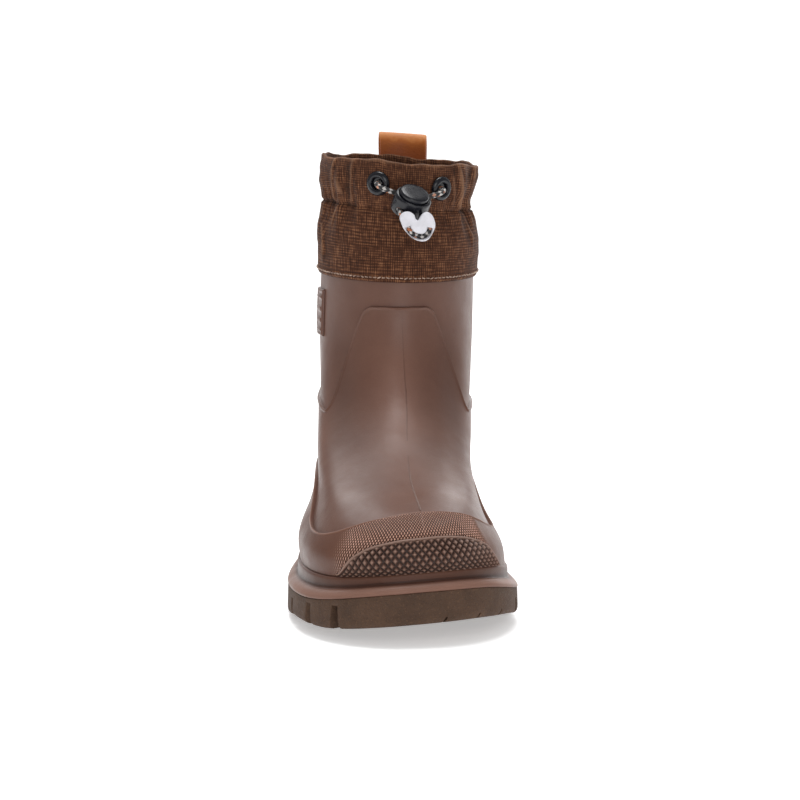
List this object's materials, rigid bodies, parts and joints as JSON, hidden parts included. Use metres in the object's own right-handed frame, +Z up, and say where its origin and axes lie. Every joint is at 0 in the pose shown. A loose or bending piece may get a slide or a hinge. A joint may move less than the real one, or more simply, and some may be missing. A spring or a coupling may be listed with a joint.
{
  "type": "winter boot",
  "caption": "Child's moulded rubber winter boot for the right foot with a gathered drawcord cuff, cord lock, rear pull loop, textured toe guard and lugged sole.",
  "frame": {"origin": "on the floor under the middle of the boot's box", "axes": "+Z up, -Y towards the toe, +Y towards the heel, -X the outer side of the right foot, +X its inner side"},
  "size_m": [0.0934, 0.226, 0.1954],
  "materials": {
    "brown_rubber": "satin moulded rubber",
    "dark_rubber": "matte moulded rubber",
    "sole_rubber": "rough speckled rubber",
    "brown_cloth": "waxed ripstop cloth",
    "felt": "felt",
    "tan_leather": "oiled strap leather",
    "black_plastic": "satin moulded plastic",
    "clear_plastic": "clear moulded plastic",
    "black_cord": "braided elastic cord"
  },
  "bodies": {
    "boot": {"outsole": "sole_rubber", "midsole": "dark_rubber", "insole": "felt", "upper": "brown_rubber", "mudguard": "brown_rubber", "toe_bumper": "dark_rubber", "side_badge": "brown_rubber", "cuff": "brown_cloth", "pull_loop": "tan_leather", "eyelet_lateral": "black_plastic", "eyelet_medial": "black_plastic", "cord_lock_barrel": "black_plastic", "cord_end_clip": "clear_plastic", "drawcord": "black_cord"},
    "lock_button": {"cord_lock_button": "black_plastic"}
  },
  "joints": [
    {"name": "button_press", "type": "slide", "parent": "boot", "child": "lock_button", "axis": [-0.2676, 0.5, -0.8236], "range_m": [0, 0.0019], "stiffness_N_per_m": 2000}
  ]
}
